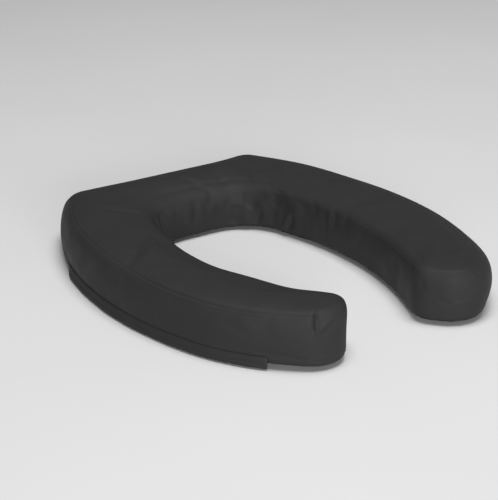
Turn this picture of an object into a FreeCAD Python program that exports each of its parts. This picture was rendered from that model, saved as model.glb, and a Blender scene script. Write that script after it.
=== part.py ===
"""Raised toilet seat: a horseshoe foam cushion in a zipped, coated-fabric cover.

Frame, millimetres: +Z up, the open front towards -Y, the straight rear edge towards +Y.
The origin is the middle of the bounding box in plan, on the surface the cushion stands on.
The zip is on the user's right-hand arm of the horseshoe, at -X.
"""
import FreeCAD, Part
import math
import os
from FreeCAD import Vector

os.makedirs("parts", exist_ok=True)

# ---------------------------------------------------------------- driving dimensions

PAD_THICKNESS = 51.0
UNDERSIDE_Z = 3.2            # the folded strap roots hold the pad this high
TOP_EDGE_R = 18.0
BOTTOM_EDGE_R = 8.0
COVER_THICKNESS = 1.0
FOAM_SPLIT = 33.0            # height of the firm layer, from the pad's underside

# Right half of the outline, walked clockwise from the middle of the rear edge.
# Each step is (name, radius, turn in degrees); a straight step is (name, length, 0).
# A turn below zero is convex, and one above zero follows the opening's concave wall.
REAR_Y = 210.0
OUTLINE = (
    ("rear_edge", 95.0, 0),
    ("rear_corner", 31.5, -60),
    ("side", 394.0, -47.5),
    ("front", 166.0, -34.5),
    ("tip_outer_corner", 35.0, -86.5),
    ("tip_face", 165.0, -5),
    ("tip_inner_corner", 20.0, -67),
    ("opening_front", 157.0, 6.5),
    ("opening_side", 342.0, 39.5),
    ("opening_rear_corner", 52.0, 74.5),
)

TOP_SEAM_DROP = 7.2          # top seam, below the top face
BOTTOM_SEAM_RISE = 9.0       # bottom seam, above the pad's underside
STITCH_PROUD = 0.6
STITCH_WIDTH = 1.2
BAND_JOIN_REACH = 30.0       # the inner band's joins, this far outside the opening's side arc

CHAMFER = 8.0                # flat under the edge that carries the zip
COIL_S = 7.0                 # middle of the zip, down the flat from its upper edge
ZIP_REAR_DEG = -16.6         # ends of the zip, turned from the side's widest point
ZIP_FRONT_DEG = 16.2
ZIP_POCKET_DEG = 0.5         # the flat runs on past the zip by this much
FLAP_END_DEG = 0.9           # and the flap by this much at the rear
FLAP_FRONT_TURN = 23.0       # past the zip the flap follows the outline's front arc this far
TAPE_THICKNESS = 0.5
TAPE_INSET = 1.3
COIL_HALF_WIDTH = 2.0
COIL_TOP = 1.6
COIL_GAP = 0.05
STOP_LENGTH = 3.0
STOP_TOP = 2.2
FLAP_THICKNESS = 0.8
FLAP_FLARE = 4.0
FLAP_BOTTOM_Z = 0.6

SLIDER_LENGTH = 9.0
SLIDER_HALF_WIDTH = 3.5
SLIDER_CORNER_R = 0.9
SLIDER_PLATE = (2.0, 3.0)    # low and high side of the plate, off the zip flat
SLIDER_FLANGE_IN = 2.3
SLIDER_FLANGE_LOW = 0.8
BRIDGE_LUG = (2.1, 2.8)      # inner and outer side of each lug
BRIDGE_LUG_HALF_LENGTH = 1.2
BRIDGE_TOP = 5.0
PIVOT_HEIGHT = 4.25
PIVOT_R = 0.5
PULL_EYE_R = 0.58
PULL_BARREL_R = 0.95
PULL_HALF_WIDTH = 1.8
PULL_THICKNESS = 0.8
PULL_LENGTH = 17.0
PULL_HOLE_R = 0.9

STRAP_WIDTH = 38.0
STRAP_THICKNESS = 1.3
STRAP_ROOT = (9.0, 23.0)     # folded root, measured outwards from the opening's side arc
STRAP_START = 24.0
STRAP_END = 77.0
STRAP_AXIS = (23.5, -0.2)    # hinge line: outwards from the arc, and height
STRAP_TIP_R = 5.0
HOOK_TAB = (50.0, 75.0)
HOOK_TAB_THICKNESS = 0.8
HOOK_TAB_WIDTH = 34.0
LOOP_PATCH = (46.0, 78.0)
LOOP_PATCH_THICKNESS = 0.8
STRAP_ANGLES = {"front": -15.0, "rear": 12.5}

TOP_Z = UNDERSIDE_Z + PAD_THICKNESS
TOP_SEAM_Z = TOP_Z - TOP_SEAM_DROP
BOTTOM_SEAM_Z = UNDERSIDE_Z + BOTTOM_SEAM_RISE
FOAM_SPLIT_Z = UNDERSIDE_Z + FOAM_SPLIT
# The flap stands out on one side only, so the whole part shifts by half of it.
CENTRE_SHIFT = FLAP_FLARE / 2
FAR = 1000.0


# ---------------------------------------------------------------- outline and prisms

def turned(vector, degrees):
    """A plan vector turned anticlockwise about +Z."""
    angle = math.radians(degrees)
    x = vector.x * math.cos(angle) - vector.y * math.sin(angle)
    y = vector.x * math.sin(angle) + vector.y * math.cos(angle)
    return Vector(x, y, 0)


def walk_outline(inset=0.0):
    """Edges of the right half and the centre of each arc, the outline moved in by inset."""
    point = Vector(0, REAR_Y - inset, 0)
    heading = Vector(1, 0, 0)
    edges = []
    centres = {}
    for name, size, turn in OUTLINE:
        if turn == 0:
            after = point + heading * size
            edges.append(Part.LineSegment(point, after).toShape())
        else:
            radius = size - inset if turn < 0 else size + inset
            side = turned(heading, 90 if turn > 0 else -90)
            centre = point + side * radius
            middle = centre + turned(point - centre, turn / 2)
            after = centre + turned(point - centre, turn)
            edges.append(Part.Arc(point, middle, after).toShape())
            heading = turned(heading, turn)
            centres[name] = centre
        point = after
    edges.append(Part.LineSegment(point, Vector(0, point.y, 0)).toShape())
    return edges, centres


def outline_face(inset, z):
    """The whole horseshoe as a face, moved in by inset, at height z."""
    right, _ = walk_outline(inset)
    left = [edge.mirror(Vector(), Vector(1, 0, 0)) for edge in right]
    wire = Part.Wire(Part.__sortEdges__(right + left))
    face = Part.Face(wire)
    face.translate(Vector(0, 0, z))
    return face


def prism(inset, low, high):
    return outline_face(inset, low).extrude(Vector(0, 0, high - low))


def rounded_pad(inset):
    """The pad's body with its top and bottom edges rounded, moved in by inset."""
    low = UNDERSIDE_Z + inset
    high = TOP_Z - inset
    body = prism(inset, low, high)
    for z, radius in ((high, TOP_EDGE_R - inset), (low, BOTTOM_EDGE_R - inset)):
        rim = [edge for edge in body.Edges
               if all(abs(vertex.Z - z) < 0.001 for vertex in edge.Vertexes)]
        body = body.makeFillet(radius, rim)
    return body


def slab(low, high):
    """All of space between two heights."""
    return Part.makeBox(2 * FAR, 2 * FAR, high - low, Vector(-FAR, -FAR, low))


def cylinder_at(centre, radius, low, high):
    return Part.makeCylinder(radius, high - low, Vector(centre.x, centre.y, low))


def mirrored(shape):
    return shape.mirror(Vector(), Vector(1, 0, 0))


_, CENTRES = walk_outline()
SIDE_R = OUTLINE[2][1]
OPENING_R = OUTLINE[8][1]
SIDE_CENTRE = CENTRES["side"]
OPENING_CENTRE = CENTRES["opening_side"]
ZIP_CENTRE = Vector(-SIDE_CENTRE.x, SIDE_CENTRE.y, 0)
FRONT_CENTRE = Vector(-CENTRES["front"].x, CENTRES["front"].y, 0)
SIDE_END_DEG = -OUTLINE[1][2] - OUTLINE[2][2] - 90


# ---------------------------------------------------------------- cover and foam

def inside_region():
    """The space that holds the opening's wall but not the outer wall."""
    radius = OPENING_R + BAND_JOIN_REACH
    right = cylinder_at(OPENING_CENTRE, radius, -FAR, FAR)
    lens = right.common(mirrored(right))
    ahead = Part.makeBox(2 * FAR, 2 * FAR, 2 * FAR, Vector(-FAR, -2 * FAR + REAR_Y - 50, -FAR))
    return lens.common(ahead)


def seam_inset(z):
    """How far the rounded edge lies inside the outline at height z."""
    rise = z - (TOP_Z - TOP_EDGE_R)
    if rise <= 0:
        return 0.0
    return TOP_EDGE_R - math.sqrt(TOP_EDGE_R ** 2 - rise ** 2)


def stitch_ring(z, outside):
    """A raised seam line round the whole pad, centred at height z."""
    inset = seam_inset(z)
    low = z - STITCH_WIDTH / 2
    high = z + STITCH_WIDTH / 2
    ring = prism(inset - STITCH_PROUD, low, high).cut(prism(inset + 3, low - 1, high + 1))
    return ring.cut(outside)


def make_cover_and_foam():
    outside = rounded_pad(0)
    core = rounded_pad(COVER_THICKNESS)
    pocket = zip_pocket()
    skin = outside.cut(core).cut(pocket)
    foam = core.cut(pocket)
    band = skin.common(slab(BOTTOM_SEAM_Z, TOP_SEAM_Z))
    region = inside_region()
    join_radius = OPENING_R + BAND_JOIN_REACH
    half = STITCH_WIDTH / 2
    join_shell = cylinder_at(OPENING_CENTRE, join_radius + half, BOTTOM_SEAM_Z + 2, TOP_SEAM_Z - 2)
    join_shell = join_shell.cut(cylinder_at(OPENING_CENTRE, join_radius - half, -FAR, FAR))
    proud = prism(-STITCH_PROUD, BOTTOM_SEAM_Z + 2, TOP_SEAM_Z - 2).cut(outside)
    front_right = Part.makeBox(FAR, FAR, 2 * FAR, Vector(0, -FAR, -FAR))
    join = proud.common(join_shell).common(front_right)
    return {
        "cover_top_panel": skin.common(slab(TOP_SEAM_Z, FAR)),
        "cover_outer_band": band.cut(region),
        "cover_inner_band": band.common(region),
        "cover_bottom_panel": skin.common(slab(-FAR, BOTTOM_SEAM_Z)),
        "top_seam_stitching": stitch_ring(TOP_SEAM_Z, outside),
        "bottom_seam_stitching": stitch_ring(BOTTOM_SEAM_Z + STITCH_WIDTH, outside),
        "band_join_seams": Part.makeCompound([join, mirrored(join)]),
        "foam_firm_layer": foam.common(slab(-FAR, FOAM_SPLIT_Z)),
        "foam_soft_layer": foam.common(slab(FOAM_SPLIT_Z, FAR)),
    }


# ---------------------------------------------------------------- zip
# The zip lies on a 45 degree flat that follows the side's arc. On its section, s runs down
# the flat from its upper edge, n stands off it, and t runs along the zip to the front.

FLAT_TOP = Vector(ZIP_CENTRE.x - SIDE_R, ZIP_CENTRE.y, UNDERSIDE_Z + CHAMFER)
S_WAY = Vector(1, 0, -1).normalize()
N_WAY = Vector(-1, 0, -1).normalize()
T_WAY = Vector(0, -1, 0)


def on_flat(s, n, t=0.0):
    return FLAT_TOP + S_WAY * s + N_WAY * n + T_WAY * t


def from_edge(inset, z):
    """A point of the section, by its distance in from the outline and its height."""
    return Vector(FLAT_TOP.x + inset, FLAT_TOP.y, z)


def swept(points, start, end):
    """A section carried along the side's arc, between two turns from its widest point."""
    face = Part.Face(Part.makePolygon(points + points[:1]))
    face.rotate(ZIP_CENTRE, Vector(0, 0, 1), start)
    return face.revolve(ZIP_CENTRE, Vector(0, 0, 1), end - start)


def swept_on(points, turn):
    """A section carried on from the side's front end, along the front's arc."""
    face = Part.Face(Part.makePolygon(points + points[:1]))
    face.rotate(ZIP_CENTRE, Vector(0, 0, 1), SIDE_END_DEG)
    return face.revolve(FRONT_CENTRE, Vector(0, 0, 1), turn)


def zip_pocket():
    points = [
        from_edge(-3, FLAT_TOP.z),
        from_edge(0, FLAT_TOP.z),
        from_edge(CHAMFER, UNDERSIDE_Z),
        from_edge(CHAMFER, UNDERSIDE_Z - 3),
        from_edge(-3, UNDERSIDE_Z - 3),
    ]
    return swept(points, ZIP_REAR_DEG - ZIP_POCKET_DEG, ZIP_FRONT_DEG + ZIP_POCKET_DEG)


def flat_strip(s_low, s_high, n_low, n_high, start=ZIP_REAR_DEG, end=ZIP_FRONT_DEG):
    points = [
        on_flat(s_low, n_low),
        on_flat(s_high, n_low),
        on_flat(s_high, n_high),
        on_flat(s_low, n_high),
    ]
    return swept(points, start, end)


def make_zip():
    flat_length = CHAMFER * math.sqrt(2)
    stop_deg = math.degrees(STOP_LENGTH / SIDE_R)
    coil_ends = (ZIP_REAR_DEG + stop_deg, ZIP_FRONT_DEG - stop_deg)
    stop = (COIL_S - COIL_HALF_WIDTH, COIL_S + COIL_HALF_WIDTH, TAPE_THICKNESS, STOP_TOP)
    # The flap leaves the wall at the bottom seam and stands out towards its lower edge.
    flap_drop = BOTTOM_SEAM_Z - FLAP_BOTTOM_Z
    flap = [
        from_edge(0, BOTTOM_SEAM_Z),
        from_edge(-FLAP_FLARE, FLAP_BOTTOM_Z),
        from_edge(FLAP_THICKNESS - FLAP_FLARE, FLAP_BOTTOM_Z),
        from_edge(0, BOTTOM_SEAM_Z - FLAP_THICKNESS * flap_drop / FLAP_FLARE),
    ]
    flap_side = swept(flap, ZIP_REAR_DEG - FLAP_END_DEG, SIDE_END_DEG)
    return {
        "zip_tape_upper": flat_strip(TAPE_INSET, COIL_S - COIL_GAP, 0, TAPE_THICKNESS),
        "zip_tape_lower": flat_strip(COIL_S + COIL_GAP, flat_length - TAPE_INSET, 0, TAPE_THICKNESS),
        "zip_coil_upper": flat_strip(
            COIL_S - COIL_HALF_WIDTH, COIL_S - COIL_GAP, TAPE_THICKNESS, COIL_TOP, *coil_ends),
        "zip_coil_lower": flat_strip(
            COIL_S + COIL_GAP, COIL_S + COIL_HALF_WIDTH, TAPE_THICKNESS, COIL_TOP, *coil_ends),
        "zip_stop_rear": flat_strip(*stop, ZIP_REAR_DEG, coil_ends[0]),
        "zip_stop_front": flat_strip(*stop, coil_ends[1], ZIP_FRONT_DEG),
        "zip_guard_flap": flap_side.fuse(swept_on(flap, FLAP_FRONT_TURN)).removeSplitter(),
    }


def bar(s_low, s_high, n_low, n_high, t_low, t_high):
    """A block on the zip flat."""
    points = [
        on_flat(s_low, n_low, t_low),
        on_flat(s_high, n_low, t_low),
        on_flat(s_high, n_high, t_low),
        on_flat(s_low, n_high, t_low),
    ]
    face = Part.Face(Part.makePolygon(points + points[:1]))
    return face.extrude(T_WAY * (t_high - t_low))


def cross_rod(radius, half_width):
    """A round rod on the pull's hinge line."""
    start = on_flat(COIL_S - half_width, PIVOT_HEIGHT)
    return Part.makeCylinder(radius, 2 * half_width, start, S_WAY)


def from_slider(edge):
    """Where an edge's middle is from the middle of the coil, under the slider as drawn."""
    return edge.BoundBox.Center.sub(on_flat(COIL_S, 0))


def make_slider():
    half = SLIDER_LENGTH / 2
    low, high = SLIDER_PLATE
    width = SLIDER_HALF_WIDTH
    body = bar(COIL_S - width, COIL_S + width, low, high, -half, half)
    lugs = []
    for side in (-1, 1):
        flange = sorted((COIL_S + side * SLIDER_FLANGE_IN, COIL_S + side * width))
        body = body.fuse(bar(*flange, SLIDER_FLANGE_LOW, low, -half, half))
        lug = sorted((COIL_S + side * BRIDGE_LUG[0], COIL_S + side * BRIDGE_LUG[1]))
        lugs.append(bar(*lug, high, BRIDGE_TOP, -BRIDGE_LUG_HALF_LENGTH, BRIDGE_LUG_HALF_LENGTH))
    body = body.removeSplitter()
    corners = [edge for edge in body.Edges
               if abs(edge.tangentAt(edge.FirstParameter).dot(N_WAY)) > 0.99
               and abs(from_slider(edge).dot(S_WAY)) > width - 0.01
               and abs(from_slider(edge).dot(T_WAY)) > half - 0.01]
    body = body.makeFillet(SLIDER_CORNER_R, corners)
    bridge = lugs[0].fuse(lugs[1]).fuse(cross_rod(PIVOT_R, BRIDGE_LUG[1] - 0.1)).removeSplitter()
    return {"zip_slider_body": body, "zip_slider_bridge": bridge}


def make_pull():
    half_thick = PULL_THICKNESS / 2
    tab = bar(COIL_S - PULL_HALF_WIDTH, COIL_S + PULL_HALF_WIDTH,
              PIVOT_HEIGHT - half_thick, PIVOT_HEIGHT + half_thick, 0, PULL_LENGTH)
    rim = [edge for edge in tab.Edges
           if abs(edge.tangentAt(edge.FirstParameter).dot(N_WAY)) > 0.99
           and edge.BoundBox.Center.sub(on_flat(COIL_S, PIVOT_HEIGHT)).dot(T_WAY) > 1]
    tab = tab.makeFillet(1.6, rim)
    pull = tab.fuse(cross_rod(PULL_BARREL_R, PULL_HALF_WIDTH)).cut(cross_rod(PULL_EYE_R, FAR))
    hole_at = on_flat(COIL_S, PIVOT_HEIGHT - PULL_THICKNESS, PULL_LENGTH - 3)
    pull = pull.cut(Part.makeCylinder(PULL_HOLE_R, 2 * PULL_THICKNESS, hole_at, N_WAY))
    return {"zip_pull_tab": pull.removeSplitter()}


def parked(shape):
    """A piece drawn at the side's widest point, turned to the closed end of the zip."""
    margin = math.degrees((STOP_LENGTH + SLIDER_LENGTH / 2 + 0.5) / SIDE_R)
    shape = shape.copy()
    shape.rotate(ZIP_CENTRE, Vector(0, 0, 1), ZIP_REAR_DEG + margin)
    return shape


# ---------------------------------------------------------------- straps
# Each strap is drawn on the line from the opening's arc centre through +X, then turned.

def plate(reach, width, low, high, corner=0.0):
    """A flat piece across the arm, its two outer corners rounded."""
    start = OPENING_CENTRE.x + OPENING_R + reach[0]
    box = Part.makeBox(reach[1] - reach[0], width, high - low,
                       Vector(start, OPENING_CENTRE.y - width / 2, low))
    if corner:
        far = [edge for edge in box.Edges
               if abs(edge.tangentAt(edge.FirstParameter).z) > 0.99
               and edge.BoundBox.Center.x > start + 1]
        box = box.makeFillet(corner, far)
    return box


def make_strap(end, side):
    """The four pieces of one strap; end is front or rear and side is left or right."""
    hook_low = STRAP_THICKNESS
    patch_low = UNDERSIDE_Z - LOOP_PATCH_THICKNESS
    pieces = {
        "strap_web": plate((STRAP_START, STRAP_END), STRAP_WIDTH, 0, STRAP_THICKNESS, STRAP_TIP_R),
        "strap_hook_tab": plate(HOOK_TAB, HOOK_TAB_WIDTH, hook_low, hook_low + HOOK_TAB_THICKNESS),
        "strap_root": plate(STRAP_ROOT, STRAP_WIDTH, 0, UNDERSIDE_Z),
        "strap_loop_patch": plate(LOOP_PATCH, STRAP_WIDTH, patch_low, UNDERSIDE_Z),
    }
    result = {}
    for name, shape in pieces.items():
        shape.rotate(OPENING_CENTRE, Vector(0, 0, 1), STRAP_ANGLES[end])
        if side == "left":
            shape = mirrored(shape)
        result[f"{name}_{end}_{side}"] = shape
    return result


# ---------------------------------------------------------------- the whole part

nodes = make_cover_and_foam()
nodes.update(make_zip())
for name, shape in {**make_slider(), **make_pull()}.items():
    nodes[name] = parked(shape)
for end in STRAP_ANGLES:
    for side in ("left", "right"):
        nodes.update(make_strap(end, side))

for name, shape in nodes.items():
    moved = shape.copy()
    moved.translate(Vector(CENTRE_SHIFT, 0, 0))
    moved.exportStep(os.path.join("parts", name + ".step"))
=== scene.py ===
"""Looks of the raised toilet seat: a horseshoe foam cushion in a zipped, coated-fabric cover.

The cover is one mesh, a loop of sections round the horseshoe, which a short cloth simulation
softens. It is then split at its seams into the panels it is sewn from. Lengths are in
millimetres until a mesh is made.
"""
import math

import bmesh
import bpy
import numpy as np
from mathutils import Matrix, Vector


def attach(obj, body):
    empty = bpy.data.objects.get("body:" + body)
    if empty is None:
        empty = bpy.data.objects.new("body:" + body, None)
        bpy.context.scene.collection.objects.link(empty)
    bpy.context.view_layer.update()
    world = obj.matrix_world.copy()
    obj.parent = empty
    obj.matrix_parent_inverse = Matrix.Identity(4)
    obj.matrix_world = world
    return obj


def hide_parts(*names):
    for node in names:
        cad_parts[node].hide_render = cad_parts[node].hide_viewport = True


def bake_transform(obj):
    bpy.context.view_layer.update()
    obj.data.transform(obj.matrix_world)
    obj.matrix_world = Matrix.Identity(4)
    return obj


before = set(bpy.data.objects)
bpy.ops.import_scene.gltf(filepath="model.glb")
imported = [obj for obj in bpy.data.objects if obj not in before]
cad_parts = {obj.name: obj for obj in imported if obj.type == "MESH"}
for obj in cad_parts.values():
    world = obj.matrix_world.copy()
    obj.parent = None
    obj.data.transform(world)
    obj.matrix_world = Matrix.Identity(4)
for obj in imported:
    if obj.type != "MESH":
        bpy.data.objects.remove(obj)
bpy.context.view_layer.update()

MM = 0.001
SEED = 7

# ---- the part's own sizes

# Right half of the outline, walked clockwise from the middle of the rear edge, as the CAD
# has it: (radius, turn in degrees), and (length, 0) for the straight rear edge.
OUTLINE = (
    (95.0, 0), (31.5, -60), (394.0, -47.5), (166.0, -34.5), (35.0, -86.5),
    (165.0, -5), (20.0, -67), (157.0, 6.5), (342.0, 39.5), (52.0, 74.5),
)
REAR_Y = 210.0
SHIFT_X = 2.0                # the CAD moves the outline this far towards +X
UNDER_Z = 3.2                # the cover's underside, which the straps lie below
TOP_Z = 54.2
HEIGHT = TOP_Z - UNDER_Z
BOTTOM_SEAM_Z = 12.2         # along the zip; elsewhere the seam is lower
FOAM_SPLIT_Z = 36.2
CHAMFER = 8.0                # the zip's 45 degree flat, measured along either wall
SIDE_R = 394.0
ZIP_CENTRE = np.array([218.93, -2.75])
POCKET_DEG = (-17.1, 16.7)   # the flat's ends, as turns about the side arc's centre
COIL_S = 7.0                 # where the coil's middle is, down the flat
OPENING_CENTRE = np.array([-261.54, -9.57])
OPENING_R = 342.0
STRAPS = {"front": -15.0, "rear": 12.5}      # turns about the opening's side arc, in degrees

# Cells along each stretch of half the cover, and across an arm. The marks are the runs at which
# the stretches end, along the outer wall and along the opening's wall.
CELLS = (40, 40, 17)
ACROSS = 20
OUTER_MARKS = (0.0, 227.7, 454.6, 554.6)
INNER_MARKS = (0.0, 85.5, 282.5, 339.1)
HALF = sum(CELLS)
LOOP = 4 * HALF + 2 * ACROSS


# ---- outline

def outline_steps():
    """Each stretch of the right half as (length, start point, heading in radians, curvature)."""
    point = np.array([0.0, REAR_Y])
    heading = 0.0
    steps = []
    for size, turn in OUTLINE:
        length = size if turn == 0 else size * abs(math.radians(turn))
        curvature = 0.0 if turn == 0 else math.copysign(1 / size, turn)
        steps.append((length, point, heading, curvature))
        point, heading = along_step(steps[-1], length)
    steps.append((point[0], point, heading, 0.0))
    return steps


def along_step(step, run):
    """Point and heading at a run along one stretch."""
    _, point, heading, curvature = step
    if curvature == 0:
        return point + run * np.array([math.cos(heading), math.sin(heading)]), heading
    left = np.array([-math.sin(heading), math.cos(heading)])
    after = heading + run * curvature
    centre = point + left / curvature
    return centre - np.array([-math.sin(after), math.cos(after)]) / curvature, after


STEPS = outline_steps()
HALF_RUN = sum(step[0] for step in STEPS)


def outline_at(run):
    """Point on the right half and its outward normal, at a run from the rear's middle."""
    for step in STEPS:
        if run <= step[0] + 1e-6:
            point, heading = along_step(step, run)
            return point, np.array([-math.sin(heading), math.cos(heading)])
        run -= step[0]
    point, heading = along_step(STEPS[-1], STEPS[-1][0])
    return point, np.array([-math.sin(heading), math.cos(heading)])


def marked(marks):
    """Runs from the rear's middle to the tip, evenly between the marks."""
    runs = [0.0]
    for start, end, cells in zip(marks, marks[1:], CELLS):
        runs += [start + (end - start) * k / cells for k in range(1, cells + 1)]
    return runs


def loop_samples():
    """The whole loop, clockwise from the rear's middle: points, normals and features.

    The features of a sample are its signed run from the rear's middle and how far it is
    from the outer wall (0) to the opening's wall (1).
    """
    outer = marked(OUTER_MARKS)
    inner = marked(INNER_MARKS)
    tip_start = OUTER_MARKS[-1]
    tip_end = HALF_RUN - INNER_MARKS[-1]
    right = [(run, run, 0.0) for run in outer]
    for k in range(1, ACROSS):
        share = k / ACROSS
        run = tip_start + (tip_end - tip_start) * share
        right.append((run, OUTER_MARKS[-1] + (INNER_MARKS[-1] - OUTER_MARKS[-1]) * share, share))
    right += [(HALF_RUN - run, run, 1.0) for run in reversed(inner)]
    points, normals, runs, inward = [], [], [], []
    for side in (1, -1):
        half = right if side > 0 else right[::-1][1:-1]
        for run, feature, share in half:
            point, normal = outline_at(run)
            points.append((point[0] * side, point[1]))
            normals.append((normal[0] * side, normal[1]))
            runs.append(feature * side)
            inward.append(share)
    return np.array(points), np.array(normals), np.array(runs), np.array(inward)


POINTS, NORMALS, RUNS, INWARD = loop_samples()


def smooth(low, high, value):
    """0 below low, 1 above high and an even change between."""
    share = np.clip((np.asarray(value, float) - low) / (high - low), 0, 1)
    return share * share * (3 - 2 * share)


def between(value, rise, fall):
    """1 from the end of the rise to the start of the fall, and 0 outside them."""
    return smooth(*rise, value) * (1 - smooth(*fall, value))


def bump(value, centre, reach):
    """1 at the centre, 0 beyond the reach."""
    return 1 - smooth(0, 1, np.abs(np.asarray(value, float) - centre) / reach)


# ---- section of the cover

# The cover's section at each part of the loop. The two numbers after the name are where it
# holds, in stretches from the rear's middle: the right arm's end is from 3 to 4, the opening's
# rear middle at 7 and the left arm's end from 10 to 11. Then come the top edge's radius, the
# wall's lean and bulge, how much lower the edge is than the middle of an arm, the top seam's
# distance from the edge's inner end, the bottom edge's radius and how far the wall is moved in.
REAR = (15, 9, 2.0, 3.5, 6.0, 6.5, 0.0)
SECTIONS = (
    ("rear", 0.0, 0.35, REAR),
    ("rear_right", 0.5, 0.85, (13, 6.5, 2.0, 2.0, 6.0, 6.5, 0.0)),
    ("side_right", 1.15, 1.77, (15, 10.5, 3.0, 3.0, 8.0, 6.5, 0.0)),
    ("bend_right", 2.18, 2.18, (17, 12, 5.0, 4.0, 9.0, 7.0, 0.0)),
    ("end_right", 2.64, 3.0, (16, 9, 6.0, 2.5, 8.0, 8.0, 0.0)),
    ("tip_right", 3.29, 3.71, (9, 2, 0.5, 1.2, 1.5, 6.5, 0.0)),
    ("corner_right", 3.93, 3.93, (10, 1, 0.0, 1.2, 4.0, 9.0, 0.3)),
    ("opening_right", 4.27, 6.08, (11, 2, 1.0, 2.5, 10.0, 6.0, 0.0)),
    ("opening_rear", 6.46, 7.38, (17, 3, 1.0, 5.0, 15.0, 4.5, 0.0)),
    ("opening_bend", 7.62, 8.08, (11, 14, 1.0, 4.0, 12.0, 6.5, 0.0)),
    ("opening_left", 8.31, 8.62, (18, 14, 3.0, 6.0, 14.0, 6.5, 0.0)),
    ("opening_front", 8.88, 9.36, (15, 9, 2.0, 4.0, 12.0, 6.5, 0.0)),
    ("corner_left", 9.91, 10.29, (13, -4.4, -0.2, 4.0, 7.0, 8.0, 4.0)),
    ("tip_left", 10.57, 10.86, (10, 2, 0.0, 1.5, 7.0, 5.0, 0.0)),
    ("end_left", 11.18, 11.45, (10, 4, 1.0, 1.5, 8.0, 8.0, 0.5)),
    ("front_left", 11.91, 12.23, (9, 4.5, 1.5, 1.5, 7.5, 6.5, 0.0)),
    ("side_left", 12.54, 13.15, (9, 5, 1.5, 1.5, 4.0, 6.5, 0.0)),
    ("rear_left", 13.46, 13.65, (13, 11, 1.5, 3.0, 5.5, 5.0, -0.8)),
    ("rear", 13.81, 14.0, REAR),
)
PLACE_BLUR = 3               # samples on either side that the sizes are averaged over
# The bottom seam climbs from the underside's edge to the zip along these stretches.
CLIMB = ((0, 0.0), (10.2, 0.0), (11.2, 1.0), (13.1, 1.0), (13.6, 0.0), (14, 0.0))


def stretches_at():
    """The position of each sample of the loop, in stretches from the rear's middle."""
    half = list(CELLS) + [ACROSS] + list(CELLS[::-1])
    cells = half + half
    return np.interp(np.arange(LOOP), np.cumsum([0] + cells), np.arange(len(cells) + 1))


def section_sizes():
    """The section's sizes at each sample of the loop, without jumps between them."""
    rows = [(place, sizes) for _, start, end, sizes in SECTIONS for place in sorted({start, end})]
    stretches = [place for place, _ in rows]
    sizes = np.array([sizes for _, sizes in rows], float)
    at = stretches_at()
    columns = [np.interp(at, stretches, sizes[:, c]) for c in range(sizes.shape[1])]
    shifts = range(-PLACE_BLUR, PLACE_BLUR + 1)
    return [sum(np.roll(column, k) for k in shifts) / len(shifts) for column in columns]


def zip_flat_share():
    """1 where the bottom edge is cut to the zip's 45 degree flat, and 0 elsewhere."""
    reach = ZIP_CENTRE - POINTS
    turn = np.degrees(np.arctan2(reach[:, 1], reach[:, 0]))
    left = (INWARD == 0) & (RUNS < 0)
    return (left & (turn > POCKET_DEG[0]) & (turn < POCKET_DEG[1])).astype(float)


TOP_R, LEAN, BULGE, EDGE_DROP, DROP, BOTTOM_R, MOVED_IN = section_sizes()
POCKET = zip_flat_share()
HIGH_SEAM = np.interp(stretches_at(), *zip(*CLIMB))
LOW_SEAM_UP = 5.6            # the bottom seam's distance up the section, away from the zip
LEAN_POWER = 1.4             # how much of the lean is near the top
POCKET_CLIMB = 0.3           # the zip flat's blend back into the wall

WALL_ROWS = 7
TOP_ROWS = 3
SEAM_HALF = 0.9              # rows close to a seam, on both sides, keep its groove sharp
ROW_GAP = 2.5                # from the bottom seam to the wall's even rows, at least
ARC_GAP = 0.5                # from the bottom edge's rounding to them, at least
TOPSTITCH = 3.5              # from the top seam down to the topstitched row
TOPSTITCH_WIDTH = 1.0
LOW_SEAM_ROW = 4
TOP_SEAM_ROW = 6 + WALL_ROWS + 4
LAST_ROW = TOP_SEAM_ROW + 1 + TOP_ROWS
# How far past the top seam and past the bottom seam the middle of the two faces counts.
IN_TOP = (20, 60)
IN_BOTTOM = (-60, -20)

END_REACH = 14               # how quickly the shape of an arm's end fades along it
PATCH_SMOOTHING = 40
CROWN_POWER = 0.6
CROWN_END = 5                # stations from an arm's end to the full crown


def section(k, up):
    """Inset and height on section k, at a distance up it from the bottom face's edge."""
    low_r = BOTTOM_R[k]
    low_arc = low_r * math.pi / 2
    top_r = TOP_R[k]
    height = HEIGHT - EDGE_DROP[k]
    wall = height - low_r - top_r
    if up <= low_arc:
        share = up / low_arc
        angle = share * math.pi / 2
        inset = low_r * (1 - math.sin(angle))
        z = low_r * (1 - math.cos(angle))
        cut = POCKET[k]
        inset += cut * (CHAMFER * (1 - share) - inset)
        z += cut * (CHAMFER * share - z)
    elif up <= low_arc + wall:
        inset = 0.0
        z = low_r + up - low_arc
        z = max(z, POCKET[k] * (CHAMFER + POCKET_CLIMB * (up - low_arc)))
    else:
        angle = (up - low_arc - wall) / top_r
        inset = top_r * (1 - math.cos(angle))
        z = height - top_r + top_r * math.sin(angle)
    share = max(0.0, (z - BOTTOM_SEAM_Z + UNDER_Z) / (HEIGHT - BOTTOM_SEAM_Z + UNDER_Z))
    inset += MOVED_IN[k] + LEAN[k] * share ** LEAN_POWER - BULGE[k] * math.sin(math.pi * share)
    return inset, UNDER_Z + z


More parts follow.
